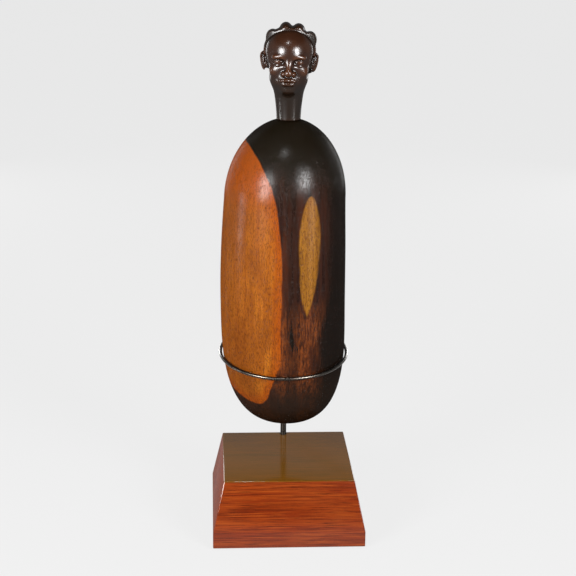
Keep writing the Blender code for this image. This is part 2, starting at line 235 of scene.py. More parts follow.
finish, tree, shader = new_finish("polished_red_hardwood", (0.1144, 0.0156, 0.0021), 0.5)
wax(shader, 0.20, 2.2, 0.13)
bands = speckle(tree, (7, 160, 200), detail=4.0, roughness=0.6, distortion=0.5)
streaks = speckle(tree, (26, 1000, 1300), detail=4.0, roughness=0.7, distortion=0.4)
fine_grain = speckle(tree, (60, 1500, 1900), detail=3.0, roughness=0.6)
patches = speckle(tree, (14, 30, 40), detail=2.0)
is_pale_band = fade(tree, bands, 0.32, 0.68)
colour = tint(tree, is_pale_band, (0.0468, 0.0049, 0.0004), (0.0693, 0.0101, 0.0008))
colour = tint(tree, fade(tree, patches, 0.42, 0.70), colour, (0.0618, 0.0094, 0.0012))
dark_lines = fade(tree, streaks, 0.50, 0.38)
colour = tint(tree, product(tree, dark_lines, 0.70), colour, (0.0206, 0.0022, 0.0003))
pale_lines = fade(tree, streaks, 0.53, 0.66)
colour = tint(tree, product(tree, pale_lines, 0.50), colour, (0.1048, 0.0225, 0.0028))
pores = fade(tree, fine_grain, 0.45, 0.35)
colour = tint(tree, product(tree, pores, 0.6), colour, (0.0112, 0.0015, 0.0003))

# Painted sheen: the top is tinted a browner, olive red than the sides, standing in for the pale
# reflection that its polish shows.
level = node(tree, "SeparateXYZ", {"Vector": node(tree, "TexCoord", {}).outputs["Object"]})
painted_sheen_top = fade(tree, level.outputs[2], block_high.z - 0.0008, block_high.z - 0.0002)
colour = tint(tree, product(tree, painted_sheen_top, 0.70), colour, (0.0350, 0.0195, 0.0014))
tree.links.new(colour, shader.inputs["Base Color"])
relief(tree, shader, maths(tree, "SUBTRACT", 1.0, pores), 0.000003)
piece("hardwood_block", block_mesh, finish, "stand", "base_wood", "base_block")


# ---------------------------------------------------------------------------------------------
# Post: a round steel bar behind the doll, blackened and waxed. Its top is filed round, its
# shoulder stands on the bottom of the drilling, and the stud below it takes the nut.
# ---------------------------------------------------------------------------------------------
LATHE_STEPS = 64


def turned(name, profile, middle):
    """A solid of revolution about an upright line; the profile of (radius, z) runs downwards."""
    bm = bmesh.new()
    rings = []
    for radius, z in profile:
        if radius == 0:
            rings.append([bm.verts.new((middle.x, middle.y, z))])
            continue
        turns = [2 * math.pi * step / LATHE_STEPS for step in range(LATHE_STEPS)]
        ring = [(radius * math.cos(turn), radius * math.sin(turn)) for turn in turns]
        rings.append([bm.verts.new((middle.x + x, middle.y + y, z)) for x, y in ring])
    for upper, lower in zip(rings, rings[1:]):
        for step in range(LATHE_STEPS):
            corners = []
            for ring, at in ((upper, step), (lower, step), (lower, step + 1), (upper, step + 1)):
                corner = ring[at % len(ring)]
                if corner not in corners:
                    corners.append(corner)
            bm.faces.new(corners)
    mesh = bpy.data.meshes.new(name)
    bm.normal_update()
    bm.to_mesh(mesh)
    bm.free()
    mesh.shade_smooth()
    mesh.set_sharp_from_angle(angle=math.radians(35))
    return mesh


SHOULDER_DEPTH = 0.022
STUD_RADIUS = 0.0015
THREAD_PITCH = 0.0005
THREAD_DEPTH = 0.0003
THREAD_LENGTH = 0.010
DOME_STEPS = 8
SHOULDER_CHAMFER = 0.0003
shoulder = block_high.z - SHOULDER_DEPTH
profile = []
for step in range(DOME_STEPS + 1):
    turn = math.radians(90 * step / DOME_STEPS)
    dome = post_high.z - 0.5 * post_radius * (1 - math.cos(turn))
    profile.append((post_radius * math.sin(turn), dome))
profile += [(post_radius, shoulder + SHOULDER_CHAMFER), (post_radius - SHOULDER_CHAMFER, shoulder)]
profile.append((STUD_RADIUS, shoulder))
z = block_low.z + THREAD_LENGTH
while z > post_low.z + THREAD_PITCH:
    profile += [(STUD_RADIUS, z), (STUD_RADIUS - THREAD_DEPTH, z - THREAD_PITCH / 2)]
    z -= THREAD_PITCH
profile += [(STUD_RADIUS - THREAD_DEPTH, post_low.z), (0, post_low.z)]
post_mesh = turned("post", profile, post_middle)


def steel(name, stretch):
    """Blackened, waxed steel; stretch is how fine its drawn lines are along x, y and z."""
    finish, tree, shader = new_finish(name, (0.06, 0.052, 0.045), 0.30, metallic=1.0)
    drawn = speckle(tree, stretch, detail=4.0)
    scale = speckle(tree, (260, 260, 260), detail=4.0)
    rust = fade(tree, speckle(tree, (160, 160, 160), detail=5.0, distortion=0.8), 0.60, 0.72)
    colour = tint(tree, scale, (0.024, 0.021, 0.018), (0.058, 0.051, 0.044))
    colour = tint(tree, product(tree, rust, 0.30), colour, (0.050, 0.026, 0.015))
    tree.links.new(colour, shader.inputs["Base Color"])
    dull = maths(tree, "ADD", product(tree, scale, 0.16), 0.20)
    dull = maths(tree, "ADD", dull, product(tree, rust, 0.12))
    tree.links.new(dull, shader.inputs["Roughness"])
    relief(tree, shader, drawn, 0.00001)
    relief(tree, shader, scale, 0.00001)
    return finish


finish = steel("blackened_bar", (3000, 3000, 120))
piece("steel_post", post_mesh, finish, "stand", "dark_steel", "post")


# ---------------------------------------------------------------------------------------------
# Washer and nut: zinc-plated, drawn up into a counterbore under the block and hidden by the
# felt. The nut's corners are chamfered and its bore is threaded to match the stud.
# ---------------------------------------------------------------------------------------------
finish, tree, shader = new_finish("zinc_plate", (0.62, 0.62, 0.60), 0.28, metallic=1.0)
spangle = speckle(tree, (900, 900, 900), detail=3.0, roughness=0.5)
handling = speckle(tree, (260, 260, 900), detail=4.0, distortion=1.0)
plate_colour = tint(tree, spangle, (0.50, 0.51, 0.50), (0.72, 0.71, 0.67))
plate_colour = tint(tree, fade(tree, handling, 0.6, 0.8), plate_colour, (0.42, 0.38, 0.28))
tree.links.new(plate_colour, shader.inputs["Base Color"])
dull = maths(tree, "ADD", product(tree, handling, 0.3), 0.15)
tree.links.new(dull, shader.inputs["Roughness"])
relief(tree, shader, spangle, 0.00002)

BORE_CLEARANCE = 0.00015
WASHER_SOFT_EDGE = 0.00008
washer_low, washer_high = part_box("washer")
washer_radius = (washer_high.x - washer_low.x) / 2
bore = STUD_RADIUS + BORE_CLEARANCE
soft = WASHER_SOFT_EDGE
profile = [
    (bore, washer_high.z),
    (washer_radius - soft, washer_high.z),
    (washer_radius, washer_high.z - soft),
    (washer_radius, washer_low.z + soft),
    (washer_radius - soft, washer_low.z),
    (bore, washer_low.z),
    (bore, washer_high.z),
]
washer_mesh = turned("washer", profile, post_middle)
piece("plated_washer", washer_mesh, finish, "stand", "plated_steel", "washer")

NUT_CHAMFER = 0.0004
NUT_THREAD_DEPTH = 0.0002
nut_low, nut_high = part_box("nut")
across_flats = min(nut_high.x - nut_low.x, nut_high.y - nut_low.y)
corner_radius = across_flats / 2 / math.cos(math.pi / 6)
bm = bmesh.new()
nut_height = nut_high.z - nut_low.z
bmesh.ops.create_cone(
    bm, cap_ends=True, segments=6, radius1=corner_radius, radius2=corner_radius, depth=nut_height
)
nut_middle = Vector((post_middle.x, post_middle.y, (nut_low.z + nut_high.z) / 2))
bmesh.ops.translate(bm, verts=bm.verts, vec=nut_middle)
nut = workpiece("nut", bm)
chamfer_profile = [
    (0, nut_high.z + 0.0001),
    (across_flats / 2 * 0.97, nut_high.z + 0.0001),
    (corner_radius * 1.02, nut_high.z - NUT_CHAMFER),
    (corner_radius * 1.02, nut_low.z + NUT_CHAMFER),
    (across_flats / 2 * 0.97, nut_low.z - 0.0001),
    (0, nut_low.z - 0.0001),
]
bore_profile = [(0, nut_high.z + 0.001), (bore, nut_high.z + 0.001)]
z = nut_high.z
while z > nut_low.z:
    bore_profile += [(bore, z), (bore + NUT_THREAD_DEPTH, z - THREAD_PITCH / 2)]
    z -= THREAD_PITCH
bore_profile += [(bore, nut_low.z - 0.001), (0, nut_low.z - 0.001)]
for label, tool_profile, operation in (
    ("chamfer", chamfer_profile, "INTERSECT"),
    ("tap", bore_profile, "DIFFERENCE"),
):
    tool = bpy.data.objects.new(label, turned(label, tool_profile, post_middle))
    bpy.context.scene.collection.objects.link(tool)
    cutting = nut.modifiers.new(label, "BOOLEAN")
    cutting.operation = operation
    cutting.object = tool
nut_mesh = settled("nut", nut)
for label in ("chamfer", "tap"):
    bpy.data.objects.remove(bpy.data.objects[label])
nut_mesh.shade_smooth()
nut_mesh.set_sharp_from_angle(angle=math.radians(30))
piece("hex_nut", nut_mesh, finish, "stand", "plated_steel", "nut")


# ---------------------------------------------------------------------------------------------
# Ring: one length of steel wire bent round by hand to the doll's girth, a touch out of true,
# with its ends meeting at the post. It slopes down to the front and carries the doll.
# ---------------------------------------------------------------------------------------------
RING_STEPS = 320
WIRE_STEPS = 20
WIRE_RADIUS = 0.0011
OUT_OF_TRUE = 0.00012
ring_low, ring_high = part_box("ring")
ring_middle = (ring_low + ring_high) / 2
ring_radius = (ring_high.x - ring_low.x) / 2 - WIRE_RADIUS
ring_tilt = math.asin(((ring_high.z - ring_low.z) / 2 - WIRE_RADIUS) / ring_radius)
tilting = Matrix.Rotation(ring_tilt, 3, "X")
bm = bmesh.new()
ring_loops = []
for step in range(RING_STEPS):
    turn = 2 * math.pi * step / RING_STEPS
    out = Vector((math.cos(turn), math.sin(turn), 0))
    wobble = OUT_OF_TRUE * noise.noise(out * 1.8 + Vector((3, 1, 7)))
    lift = OUT_OF_TRUE * noise.noise(out * 2.3 + Vector((9, 5, 2)))
    loop = []
    for side in range(WIRE_STEPS):
        around = 2 * math.pi * side / WIRE_STEPS
        reach = ring_radius + abs(wobble) + WIRE_RADIUS * math.cos(around)
        place = out * reach + Vector((0, 0, lift + WIRE_RADIUS * math.sin(around)))
        loop.append(bm.verts.new(ring_middle + tilting @ place))
    ring_loops.append(loop)
for near, far in zip(ring_loops, ring_loops[1:] + ring_loops[:1]):
    for side in range(WIRE_STEPS):
        after = (side + 1) % WIRE_STEPS
        bm.faces.new((near[side], far[side], far[after], near[after]))
bmesh.ops.recalc_face_normals(bm, faces=bm.faces)
ring_mesh = settled("ring", workpiece("ring", bm))
ring_mesh.shade_smooth()
finish = steel("blackened_wire", (900, 900, 2200))
piece("wire_ring", ring_mesh, finish, "stand", "dark_steel", "ring")


# ---------------------------------------------------------------------------------------------
# Braze: a bead of bronze run in where the wire crosses the post, wrapped round both and
# left as it flowed, with flux stains.
# ---------------------------------------------------------------------------------------------
bead_low, bead_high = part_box("ring_braze")
bead_middle = (bead_low + bead_high) / 2
bead_half = (bead_high - bead_low) / 2
bm = bmesh.new()
bmesh.ops.create_icosphere(bm, subdivisions=5, radius=1.0)
for vertex in bm.verts:
    swell = 0.97 - 0.10 * abs(noise.noise(vertex.co * 2.2))
    swell -= 0.03 * abs(noise.noise(vertex.co * 6))
    waist = 1 - 0.16 * math.exp(-((abs(vertex.co.z) - 0.55) / 0.25) ** 2)
    vertex.co = vertex.co * swell
    vertex.co.x *= waist
    vertex.co = Vector([a * b for a, b in zip(vertex.co, bead_half)]) + bead_middle
bead_mesh = settled("bead", workpiece("bead", bm))
bead_mesh.shade_smooth()
finish, tree, shader = new_finish("brazing_bronze", (0.30, 0.21, 0.09), 0.42, metallic=1.0)
flow = speckle(tree, (700, 700, 700), detail=4.0, distortion=1.0)
stain = fade(tree, speckle(tree, (380, 380, 380), detail=5.0), 0.45, 0.62)
bead_colour = tint(tree, flow, (0.20, 0.14, 0.065), (0.42, 0.30, 0.13))
bead_colour = tint(tree, product(tree, stain, 0.8), bead_colour, (0.035, 0.030, 0.026))
tree.links.new(bead_colour, shader.inputs["Base Color"])
dull = maths(tree, "ADD", product(tree, flow, 0.35), 0.25)
tree.links.new(dull, shader.inputs["Roughness"])
relief(tree, shader, flow, 0.00008)
piece("brazing_bead", bead_mesh, finish, "stand", "braze_metal", "ring_braze")


# ---------------------------------------------------------------------------------------------
# Doll's body: a capsule carved from one log, scraped smooth and polished by years of handling.
# The left is orange-brown sapwood, the right black heartwood with a spear-shaped pale inclusion.
# A tapered socket in its top holds the head's peg.
# ---------------------------------------------------------------------------------------------
BELLY_HEIGHT = 0.0775
BELLY_ROUNDNESS = 2.9
SIDE_HEIGHT = 0.0760
SIDE_BULGE = 0.0006
SHOULDER_RADIUS = 0.0397
SHOULDER_HEIGHT = 0.0520
BELLY_SWAY = -0.0027
MOUTH_RADIUS = 0.0081
SOCKET_RADII = (0.0063, 0.0055)
SOCKET_DEPTH = 0.0250
SOCKET_EDGE = 0.0002
SEAT_MARGIN = 0.0003
CARVING_DEPTH = 0.00030
SMOOTH_NEAR_MOUTH = 0.004
BODY_ASIDE = -0.0011
BODY_TURNS = 200
BELLY_STEPS = 70
SIDE_STEPS = 50
SHOULDER_STEPS = 60
body_low, body_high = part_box("doll_body")
belly_radius = (body_high.y - body_low.y) / 2
body_middle = Vector((BODY_ASIDE, (body_low.y + body_high.y) / 2, 0))
pole = body_low.z
seat = body_high.z


def body_radius(z):
    """The capsule's radius at a height: a full belly, tapering sides and rounded shoulders."""
    belly_top = pole + BELLY_HEIGHT
    shoulder = belly_top + SIDE_HEIGHT
    if z < belly_top:
        share = min((belly_top - z) / BELLY_HEIGHT, 1)
        return belly_radius * (1 - share**BELLY_ROUNDNESS) ** (1 / BELLY_ROUNDNESS)
    if z < shoulder:
        share = (shoulder - z) / SIDE_HEIGHT
        bulge = SIDE_BULGE * math.sin(math.pi * share)
        return SHOULDER_RADIUS + (belly_radius - SHOULDER_RADIUS) * share + bulge
    share = min((z - shoulder) / SHOULDER_HEIGHT, 1)
    return SHOULDER_RADIUS * math.sqrt(1 - share**2)


def carved(place):
    """How far the scraper went below the true form at a place, in metres."""
    broad = noise.noise(place * 28) * 0.5 + 0.5
    facets = noise.noise(Vector((place.x * 110, place.y * 110, place.z * 38))) * 0.5 + 0.5
    return CARVING_DEPTH * (0.75 * broad + 0.25 * facets)


heights = []
for step in range(1, BELLY_STEPS):
    heights.append(pole + BELLY_HEIGHT * (1 - math.cos(math.pi / 2 * step / BELLY_STEPS)))
for step in range(SIDE_STEPS):
    heights.append(pole + BELLY_HEIGHT + SIDE_HEIGHT * step / SIDE_STEPS)
shoulder_span = seat - pole - BELLY_HEIGHT - SIDE_HEIGHT
for step in range(SHOULDER_STEPS + 1):
    rise = math.sin(math.pi / 2 * step / SHOULDER_STEPS)
    heights.append(seat - shoulder_span * (1 - rise))
bm = bmesh.new()
foot = bm.verts.new(Vector((body_middle.x, body_middle.y, pole)))
body_rings = []
for z in heights:
    sway = BELLY_SWAY * math.sin(math.pi * (z - pole) / (seat - pole))
    ring = []
    for step in range(BODY_TURNS):
        turn = 2 * math.pi * step / BODY_TURNS
        out = Vector((math.cos(turn), math.sin(turn), 0))
        place = body_middle + out * body_radius(z) + Vector((sway, 0, z))
        below_mouth = min(max((seat - z) / SMOOTH_NEAR_MOUTH, 0), 1)
        ring.append(bm.verts.new(place - out * carved(place) * below_mouth))
    body_rings.append(ring)
socket_profile = [
    (MOUTH_RADIUS - SEAT_MARGIN, seat),
    (SOCKET_RADII[0] + SOCKET_EDGE, seat),
    (SOCKET_RADII[0], seat - SOCKET_EDGE),
    (SOCKET_RADII[1], seat - SOCKET_DEPTH),
]
for radius, z in socket_profile:
    ring = []
    for step in range(BODY_TURNS):
        turn = 2 * math.pi * step / BODY_TURNS
        out = Vector((math.cos(turn), math.sin(turn), 0))
        ring.append(bm.verts.new(body_middle + out * radius + Vector((0, 0, z))))
    body_rings.append(ring)
for lower, upper in zip(body_rings, body_rings[1:]):
    for step in range(BODY_TURNS):
        after = (step + 1) % BODY_TURNS
        bm.faces.new((lower[step], lower[after], upper[after], upper[step]))
for step in range(BODY_TURNS):
    after = (step + 1) % BODY_TURNS
    bm.faces.new((foot, body_rings[0][after], body_rings[0][step]))
bm.faces.new(body_rings[-1])
bmesh.ops.recalc_face_normals(bm, faces=bm.faces)
body_mesh = settled("body", workpiece("body", bm))
body_mesh.shade_smooth()
body_mesh.set_sharp_from_angle(angle=math.radians(40))

# The wood is drawn as a solid, so its figure runs through from the front to the back.
finish, tree, shader = new_finish("two_tone_wood", (0.1456, 0.0364, 0.0042), 0.5)
wax(shader, 0.027, 3.0, 0.24)
place = node(tree, "TexCoord", {}).outputs["Object"]
axes = node(tree, "SeparateXYZ", {"Vector": place})
across, deep, up = axes.outputs

# Both woods waver as they grew, and the boundary is a little frayed.
wander = speckle(tree, (18, 18, 14), detail=3.0)
wander = product(tree, maths(tree, "SUBTRACT", wander, 0.5), 0.007)
fray = speckle(tree, (900, 900, 60), detail=3.0)
fray = product(tree, maths(tree, "SUBTRACT", fray, 0.5), 0.0016)
across = maths(tree, "ADD", across, maths(tree, "ADD", wander, fray))

# The two woods part along a nearly upright sheet that bows away to the left near both ends;
# below, the dark wood's colour also runs across under the pale and rises towards the left
# edge: partly darker patina, partly painted shade where the belly turns away from the lights.
BOUNDARY_LEFT = 0.0069
UPPER_BOW_FROM, UPPER_BOW_SPAN, UPPER_BOW, UPPER_HOOK = 0.183, 0.0855, 0.017, 0.008
LOWER_BOW_FROM, LOWER_BOW_SPAN, LOWER_BOW = 0.129, 0.031, 0.012
UNDER_FROM, UNDER_CURVE, UNDER_TOP = -0.018, 18.0, 0.0975
BOUNDARY_LEAN_FROM, BOUNDARY_LEAN = 0.046, 0.10
BOUNDARY_BLEND = 0.010
above = maths(tree, "MAXIMUM", maths(tree, "SUBTRACT", up, UPPER_BOW_FROM), 0.0)
above = maths(tree, "DIVIDE", above, UPPER_BOW_SPAN)
below = maths(tree, "MAXIMUM", maths(tree, "SUBTRACT", LOWER_BOW_FROM, up), 0.0)
below = maths(tree, "DIVIDE", below, LOWER_BOW_SPAN)
bow = product(tree, maths(tree, "POWER", above, 2.7), UPPER_BOW)
bow = maths(tree, "ADD", bow, product(tree, maths(tree, "POWER", above, 10.0), UPPER_HOOK))
bow = maths(tree, "ADD", bow, product(tree, maths(tree, "POWER", below, 1.1), LOWER_BOW))
back_lean = product(tree, maths(tree, "ADD", deep, BOUNDARY_LEAN_FROM), BOUNDARY_LEAN)
sheet = maths(tree, "ADD", maths(tree, "ADD", across, BOUNDARY_LEFT), bow)
sheet = maths(tree, "SUBTRACT", sheet, back_lean)
# Partly patina, partly painted shade: the dark wood's colour is laid over the lower belly, rising
# towards the left edge.
leftwards = maths(tree, "MAXIMUM", maths(tree, "SUBTRACT", UNDER_FROM, across), 0.0)
under_rise = product(tree, maths(tree, "POWER", leftwards, 2.0), UNDER_CURVE)
under = maths(tree, "SUBTRACT", maths(tree, "ADD", under_rise, UNDER_TOP), up)
both = {0: sheet, 1: under, 2: BOUNDARY_BLEND}
sheet = node(tree, "Math", both, operation="SMOOTH_MAX").outputs[0]
is_dark = fade(tree, sheet, -0.0005, 0.0007)
glow = fade(tree, sheet, -0.009, 0.0)

# Sapwood: orange-brown, redder towards the heartwood and the shoulder, with upright streaks.
long_grain = speckle(tree, (260, 260, 9), detail=4.0, roughness=0.6, distortion=0.5)
short_grain = speckle(tree, (1000, 1000, 150), detail=4.0, roughness=0.7)
clouds = speckle(tree, (55, 55, 26), detail=4.0)
is_pale_grain = fade(tree, long_grain, 0.35, 0.65)
sap = tint(tree, is_pale_grain, (0.0734, 0.0176, 0.0010), (0.1048, 0.0311, 0.0022))
sap = tint(tree, fade(tree, clouds, 0.42, 0.66), sap, (0.0655, 0.0169, 0.0011))
high = fade(tree, up, 0.222, 0.250)
glow = product(tree, maths(tree, "MAXIMUM", glow, high), 0.8)
# Painted shade: the sapwood is darkened over its upper part and towards its left edge, toning down
# the light that falls there.
upper = product(tree, fade(tree, up, 0.185, 0.235), 0.5)
painted_shade_left = product(tree, fade(tree, across, -0.022, -0.036), 0.5)
sap = tint(tree, maths(tree, "MAXIMUM", upper, painted_shade_left), sap, (0.0592, 0.0133, 0.0007))
sap = tint(tree, glow, sap, (0.0847, 0.0148, 0.0004))
sap_streak = fade(tree, short_grain, 0.52, 0.36)
sap = tint(tree, product(tree, sap_streak, 0.45), sap, (0.0273, 0.0063, 0.0004))

# Heartwood: brown beside the sapwood and round the inclusion, black towards the right.
low_down = fade(tree, up, 0.178, 0.150)
ragged = product(tree, maths(tree, "SUBTRACT", long_grain, 0.5), 0.016)
black_from = maths(tree, "ADD", ragged, product(tree, low_down, 0.006))
to_black = fade(tree, maths(tree, "ADD", across, black_from), 0.019, 0.029)
heart_streak = fade(tree, long_grain, 0.40, 0.62)
heart = tint(tree, heart_streak, (0.0047, 0.0014, 0.0007), (0.0130, 0.0031, 0.0010))
flecks = product(tree, fade(tree, short_grain, 0.38, 0.62), fade(tree, clouds, 0.34, 0.54))
heart = tint(tree, product(tree, low_down, flecks), heart, (0.0500, 0.0118, 0.0022))
dark_core = product(tree, fade(tree, across, 0.006, 0.002), fade(tree, across, -0.006, -0.001))
heart = tint(tree, product(tree, dark_core, 0.6), heart, (0.0023, 0.0010, 0.0006))

# A small black lens stands just below the inclusion's point.
BLACK = (0.0016, 0.0009, 0.0005)
LENS_MIDDLE, LENS_HALF_WIDTH = 0.0002, 0.0013
lens = product(tree, fade(tree, up, 0.1350, 0.1430), fade(tree, up, 0.1600, 0.1480))
lens_width = product(tree, lens, LENS_HALF_WIDTH)
off_lens = maths(tree, "ABSOLUTE", maths(tree, "SUBTRACT", across, LENS_MIDDLE))
in_lens = fade(tree, maths(tree, "SUBTRACT", lens_width, off_lens), -0.0003, 0.0006)
heart = tint(tree, in_lens, heart, BLACK)
heart = tint(tree, to_black, heart, BLACK)
shoulders = fade(tree, up, 0.225, 0.262)
heart = tint(tree, shoulders, heart, (0.0015, 0.0011, 0.0004))
# Painted shade, with some darker patina: the heartwood darkens below the ring, where the belly
# turns away from the lights.
painted_shade_below = product(tree, fade(tree, up, 0.127, 0.100), 0.85)
heart = tint(tree, painted_shade_below, heart, (0.0039, 0.0021, 0.0011))

# Inclusion: a spear of pale wood in the dark, blunt above and pointed below.
SPEAR_TIP, SPEAR_TOP = 0.1590, 0.2390
SPEAR_HALF_WIDTH = 0.0082
SPEAR_INSET = 0.0008
SPEAR_MIDDLE, SPEAR_LEAN = 0.0091, 0.0030
along = maths(tree, "DIVIDE", maths(tree, "SUBTRACT", up, SPEAR_TIP), SPEAR_TOP - SPEAR_TIP)
along = maths(tree, "MINIMUM", maths(tree, "MAXIMUM", along, 0.0), 1.0)
point = maths(tree, "POWER", maths(tree, "SUBTRACT", 1.0, along), 4.3)
blunt = maths(tree, "SQRT", maths(tree, "SUBTRACT", 1.0, maths(tree, "POWER", along, 5.0)))
half_width = product(tree, maths(tree, "SUBTRACT", 1.0, point), blunt)
half_width = product(tree, half_width, SPEAR_HALF_WIDTH)
half_width = maths(tree, "SUBTRACT", half_width, SPEAR_INSET)
spear_middle = maths(tree, "ADD", product(tree, along, SPEAR_LEAN), SPEAR_MIDDLE)
from_middle = maths(tree, "ABSOLUTE", maths(tree, "SUBTRACT", across, spear_middle))
inside = fade(tree, maths(tree, "SUBTRACT", half_width, from_middle), -0.0007, 0.0009)
is_spear = product(tree, inside, fade(tree, deep, -0.020, -0.024))
pale = tint(tree, is_pale_grain, (0.0588, 0.0218, 0.0014), (0.0882, 0.0344, 0.0034))
pale = tint(tree, product(tree, sap_streak, 0.65), pale, (0.0286, 0.0083, 0.0008))

colour = tint(tree, is_dark, sap, heart)
colour = tint(tree, is_spear, colour, pale)

# Pores: short dark dashes along the grain, thick in the pale wood.
pores = fade(tree, speckle(tree, (2100, 2100, 520), detail=2.0), 0.47, 0.36)
colour = tint(tree, product(tree, pores, 0.55), colour, (0.0073, 0.0021, 0.0005))
tree.links.new(colour, shader.inputs["Base Color"])
relief(tree, shader, maths(tree, "SUBTRACT", 1.0, pores), 0.00013)
relief(tree, shader, short_grain, 0.00005)
relief(tree, shader, speckle(tree, (330, 330, 190), detail=3.0), 0.00005)
piece("carved_body", body_mesh, finish, "doll", "body_wood", "doll_body")


# ---------------------------------------------------------------------------------------------
# Doll's head: head, lobed hair, neck and tapered peg, carved in one from very dark wood, oiled,
# and worn to a warm brown where fingers rub it. The peg plugs into the body.
# ---------------------------------------------------------------------------------------------
MM = 0.001
HEAD_TURN = math.radians(-4.0)
HEAD_TILT = math.radians(1.5)
EYE_HEIGHT = 37.0
NECK_FOOT_RADIUS = 7.8
NECK_PLAIN_TO = 12
JAW_FILLET = 4.5
PEG_RADII = (6.0, 5.2)
PEG_LENGTH = 24.0
PARING_ROUNDS = 8
PARING_NUDGE = 0.02
PARING_STEP = 0.4
PARING_VOXELS = (0.6, 0.38, 0.36)

# The hair's four rolls from left to right: middle, top, half width, half length, half height.
HAIR_ROLLS = (
    (-11.0, 56.6, 4.4, 12.5, 4.8),
    (-2.8, 61.3, 4.2, 9.5, 4.8),
    (5.2, 60.7, 4.2, 9.5, 4.6),
    (12.6, 56.0, 4.4, 12.5, 5.4),
)


def lump(points, centre, radii, lean=0.0, turn=0.0):
    """How far points lie outside an ellipsoid, in millimetres; below 0 is inside."""
    spin = Euler((0, math.radians(lean), math.radians(turn))).to_matrix()
    local = (points - np.array(centre)) @ np.array(spin)
    near = np.linalg.norm(local / np.array(radii), axis=1)
    nearer = np.linalg.norm(local / np.array(radii) ** 2, axis=1)
    return near * (near - 1) / np.maximum(nearer, 1e-6)


def rod(points, start, end, start_radius, end_radius):
    """How far points lie outside a tapered rod with round ends."""
    start, end = np.array(start, float), np.array(end, float)
    along = (points - start) @ (end - start) / ((end - start) @ (end - start))
    along = np.clip(along, 0, 1)[:, None]
    nearest = start + along * (end - start)
    radius = start_radius + along[:, 0] * (end_radius - start_radius)
    return np.linalg.norm(points - nearest, axis=1) - radius


def joined(a, b, softness):
    """Adds form b to form a, with a fillet of about the given softness between them."""
    share = np.clip(0.5 + 0.5 * (b - a) / softness, 0, 1)
    return b + (a - b) * share - softness * share * (1 - share)


def common(a, b, softness):
    """What forms a and b share, with its edge softened."""
    return -joined(-a, -b, softness)


def face_and_skull(p, m):
    """The head without ears and hair, in millimetres; m holds the points with x made positive."""
    form = lump(p, (0, 0.4, 43.5), (15.5, 16.4, 14.4))
    form = joined(form, lump(p, (0, -3.4, 36.5), (13.0, 11.8, 14.5)), 3.0)
    form = joined(form, lump(p, (0, 4.5, 32.0), (11.8, 10.5, 12.0)), 4.0)
    form = joined(form, lump(p, (0, -4.4, 26.8), (11.2, 9.6, 8.6)), 3.0)
    form = joined(form, lump(p, (0, -11.0, 20.9), (4.6, 3.2, 3.2)), 3.0)
    form = joined(form, lump(p, (0, -10.4, 26.2), (6.6, 4.6, 4.8)), 3.0)
    form = joined(form, lump(m, (7.6, -9.8, 32.4), (4.4, 3.2, 3.6)), 3.0)
    form = joined(form, lump(m, (5.4, -13.0, 41.4), (5.2, 2.2, 1.5), lean=6), 2.0)
    form = common(form, -lump(m, (6.2, -15.6, 37.6), (3.9, 2.5, 2.3)), 1.4)
    form = joined(form, lump(m, (6.2, -11.1, 37.2), (3.3, 3.0, 2.3)), 0.4)
    form = joined(form, lump(m, (6.2, -11.3, 38.2), (3.7, 3.1, 1.9), lean=4), 0.3)
    form = joined(form, lump(m, (6.1, -11.2, 35.6), (3.4, 2.9, 1.3), lean=-5), 0.3)
    form = joined(form, rod(p, (0, -13.2, 40.6), (0, -16.4, 32.0), 1.5, 2.0), 1.8)
    form = joined(form, lump(p, (0, -16.6, 31.2), (2.6, 2.2, 2.1)), 1.0)
    form = joined(form, lump(m, (2.9, -14.8, 30.7), (1.8, 2.3, 1.8)), 0.9)
    form = common(form, -lump(m, (1.8, -16.0, 29.2), (0.9, 1.4, 0.8)), 0.4)
    form = common(form, -lump(p, (0, -16.4, 28.0), (0.8, 1.2, 1.4)), 0.8)
    form = joined(form, lump(m, (1.9, -14.4, 26.6), (3.2, 1.9, 1.3), lean=8), 0.7)
    form = joined(form, lump(p, (0, -14.2, 24.3), (4.1, 2.0, 1.5)), 0.7)
    form = common(form, -lump(p, (0, -17.2, 25.5), (5.4, 2.6, 0.32)), 0.35)
    return common(form, -lump(p, (0, -15.6, 22.2), (3.4, 1.5, 0.9)), 1.2)


def ears(m):
    """Both ears: plates that stand out and face forwards, hollowed inside a rolled rim."""
    form = lump(m, (15.4, 1.4, 35.8), (1.7, 5.0, 7.4), lean=7, turn=52)
    form = common(form, -lump(m, (16.4, -0.6, 36.4), (1.3, 3.3, 5.4), lean=7, turn=52), 0.6)
    form = joined(form, lump(m, (13.6, -0.4, 34.8), (1.5, 1.6, 2.2)), 0.8)
    return joined(form, lump(m, (15.9, 0.4, 36.2), (0.8, 0.9, 3.8), lean=12), 0.7)


def hair(p):
    """Close-cut hair that stands 1 mm proud along its edge, with four rolls from front to back."""
    x, y, z = p.T
    form = lump(p, (0.1, 1.2, 44.0), (16.7, 17.2, 15.2))
    for middle, top, wide, long, high in HAIR_ROLLS:
        form = joined(form, lump(p, (middle, 3.2, top - high), (wide, long, high)), 0.9)
    front_edge = -5.6 + 0.021 * x**2 - 0.25 * np.maximum(52 - z, 0)
    form = common(form, front_edge - y, 0.5)
    nape = 40.5 - 0.55 * (y + 1)
    return common(form, nape - z, 0.5)


def neck_and_peg(p):
    """The neck, which widens into the jaw, over a flat foot and a tapered peg."""
    x, y, z = p.T
    outward = np.hypot(x, y)
    rise = np.maximum(z, 0)
    neck = outward - (NECK_FOOT_RADIUS + 0.02 * rise + 0.0045 * rise**2)
    neck = common(common(neck, z - 27, 4.0), -z, 0.5)
    taper = (PEG_RADII[0] - PEG_RADII[1]) / PEG_LENGTH
    peg = outward - (PEG_RADII[0] + taper * np.minimum(z, 0))
    peg = common(common(peg, -PEG_LENGTH - z, 0.6), z - 6, 0.6)
    return neck, peg


